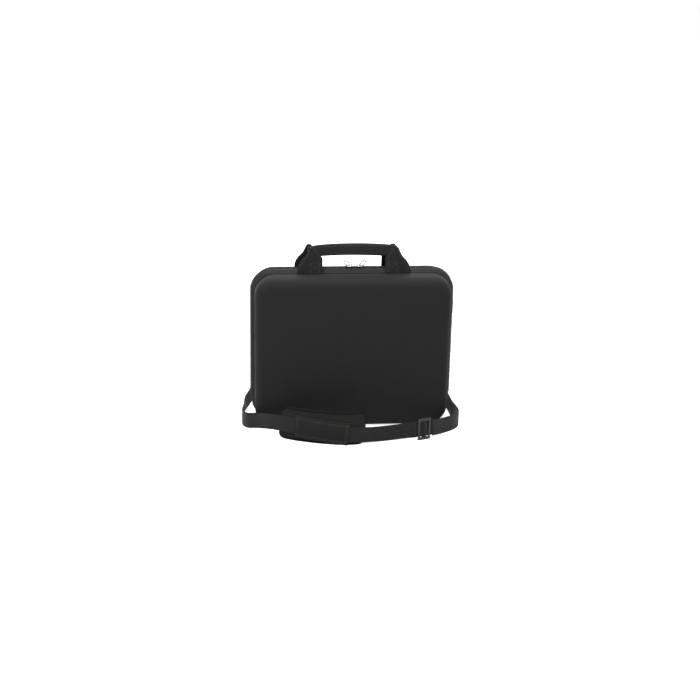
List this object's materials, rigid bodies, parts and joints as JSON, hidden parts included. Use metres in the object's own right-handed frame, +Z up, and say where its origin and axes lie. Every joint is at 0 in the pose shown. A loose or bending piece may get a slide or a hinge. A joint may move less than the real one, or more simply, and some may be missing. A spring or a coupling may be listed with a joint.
{
  "type": "miniature carry case",
  "caption": "Moulded clamshell case with foam trays for game miniatures, webbing carry handles, a zip all round and an adjustable padded shoulder strap on swivel hooks.",
  "frame": {"origin": "on the floor under the middle of the zip, halfway along the case's long side, on the underside of the hinge fabric", "axes": "+X along the long side, -Y the front, +Z up"},
  "size_m": [0.4317, 0.2386, 0.3673],
  "materials": {
    "shell_fabric": "woven fabric laminated on moulded foam",
    "binding_fabric": "plain woven tape",
    "zip_tape": "knitted zip tape",
    "zip_chain": "coil of thin filament",
    "web_nylon": "ribbed webbing and plain woven cloth",
    "foam": "soft open foam",
    "bright_metal": "polished",
    "black_metal": "dark coated wire",
    "plastic": "moulded, lightly grained",
    "label": "smooth ribbon, bare"
  },
  "bodies": {
    "rear_half": {"rear_shell": "shell_fabric", "rear_seam_binding": "binding_fabric", "rear_zip_tape": "zip_tape", "rear_zip_chain": "zip_chain", "rear_foam_floor": "foam", "rear_tray_left": "foam", "rear_tray_right": "foam", "divider_pad": "foam", "hinge_gusset": "binding_fabric", "ring_loop_left": "web_nylon", "ring_loop_right": "web_nylon", "shoulder_strap": "web_nylon", "shoulder_pad": "web_nylon", "pad_sleeve": "web_nylon"},
    "front_half": {"front_shell": "shell_fabric", "front_seam_binding": "binding_fabric", "front_zip_tape": "zip_tape", "front_zip_chain": "zip_chain", "front_foam_floor": "foam", "front_tray_left": "foam", "front_tray_right": "foam", "label_tab": "label"},
    "front_handle": {"front_handle": "web_nylon"},
    "rear_handle": {"rear_handle": "web_nylon"},
    "zip_slider_left": {"zip_slider_left": "bright_metal"},
    "zip_slider_right": {"zip_slider_right": "bright_metal"},
    "zip_pull_left": {"zip_pull_left": "bright_metal"},
    "zip_pull_right": {"zip_pull_right": "bright_metal"},
    "d_ring_left": {"d_ring_left": "black_metal"},
    "d_ring_right": {"d_ring_right": "black_metal"},
    "hook_left": {"hook_body_left": "bright_metal"},
    "hook_right": {"hook_body_right": "bright_metal"},
    "hook_eye_left": {"hook_eye_left": "bright_metal"},
    "hook_eye_right": {"hook_eye_right": "bright_metal"},
    "hook_gate_left": {"hook_gate_left": "bright_metal"},
    "hook_gate_right": {"hook_gate_right": "bright_metal"},
    "adjuster": {"strap_adjuster": "plastic"}
  },
  "joints": [
    {"name": "lid_open", "type": "hinge", "parent": "rear_half", "child": "front_half", "pos_m": [0, 0, 0], "axis": [1, 0, 0], "range_deg": [0, 165], "deforming": ["hinge_gusset", "shoulder_strap", "shoulder_pad", "pad_sleeve", "strap_adjuster"]},
    {"name": "front_handle_fold", "type": "hinge", "parent": "front_half", "child": "front_handle", "pos_m": [0, -0.0183, 0.3086], "axis": [1, 0, 0], "range_deg": [0, 80]},
    {"name": "rear_handle_fold", "type": "hinge", "parent": "rear_half", "child": "rear_handle", "pos_m": [0, 0.0183, 0.3086], "axis": [-1, 0, 0], "range_deg": [0, 80]},
    {"name": "zip_left_slide", "type": "slide", "parent": "rear_half", "child": "zip_slider_left", "axis": [-1, 0, 0], "range_m": [0, 0.135]},
    {"name": "zip_right_slide", "type": "slide", "parent": "rear_half", "child": "zip_slider_right", "axis": [1, 0, 0], "range_m": [0, 0.128]},
    {"name": "zip_pull_left_flip", "type": "hinge", "parent": "zip_slider_left", "child": "zip_pull_left", "pos_m": [-0.007, 0, 0.3213], "axis": [0, 1, 0], "range_deg": [0, 110]},
    {"name": "zip_pull_right_flip", "type": "hinge", "parent": "zip_slider_right", "child": "zip_pull_right", "pos_m": [0.015, 0, 0.3213], "axis": [0, -1, 0], "range_deg": [0, 110]},
    {"name": "ring_left_swing", "type": "hinge", "parent": "rear_half", "child": "d_ring_left", "pos_m": [-0.15, 0.05629, 0.262], "axis": [1, 0, 0], "range_deg": [0, 70], "deforming": ["shoulder_strap"]},
    {"name": "hook_left_swing", "type": "hinge", "parent": "d_ring_left", "child": "hook_left", "pos_m": [-0.15, 0.0645, 0.23945], "axis": [1, 0, 0], "range_deg": [0, 60], "deforming": ["shoulder_strap"]},
    {"name": "hook_left_swivel", "type": "hinge", "parent": "hook_left", "child": "hook_eye_left", "pos_m": [-0.15, 0.0645, 0.21525], "axis": [0, 0, 1], "range_deg": [-25, 25], "deforming": ["shoulder_strap"]},
    {"name": "gate_left_press", "type": "hinge", "parent": "hook_left", "child": "hook_gate_left", "pos_m": [-0.15, 0.0697, 0.22695], "axis": [1, 0, 0], "range_deg": [0, 30], "stiffness_Nm_per_rad": 0.015, "springref_deg": -17.19},
    {"name": "ring_right_swing", "type": "hinge", "parent": "rear_half", "child": "d_ring_right", "pos_m": [0.15, 0.05629, 0.262], "axis": [1, 0, 0], "range_deg": [0, 70], "deforming": ["shoulder_strap"]},
    {"name": "hook_right_swing", "type": "hinge", "parent": "d_ring_right", "child": "hook_right", "pos_m": [0.15, 0.0645, 0.23945], "axis": [1, 0, 0], "range_deg": [0, 60], "deforming": ["shoulder_strap"]},
    {"name": "hook_right_swivel", "type": "hinge", "parent": "hook_right", "child": "hook_eye_right", "pos_m": [0.15, 0.0645, 0.21525], "axis": [0, 0, 1], "range_deg": [-25, 25], "deforming": ["shoulder_strap"]},
    {"name": "gate_right_press", "type": "hinge", "parent": "hook_right", "child": "hook_gate_right", "pos_m": [0.15, 0.0697, 0.22695], "axis": [1, 0, 0], "range_deg": [0, 30], "stiffness_Nm_per_rad": 0.015, "springref_deg": -17.19},
    {"name": "adjuster_slide", "type": "slide", "parent": "rear_half", "child": "adjuster", "axis": [0.9407, 0.3393, 0], "range_m": [-0.02, 0.02], "deforming": ["shoulder_strap"]}
  ]
}
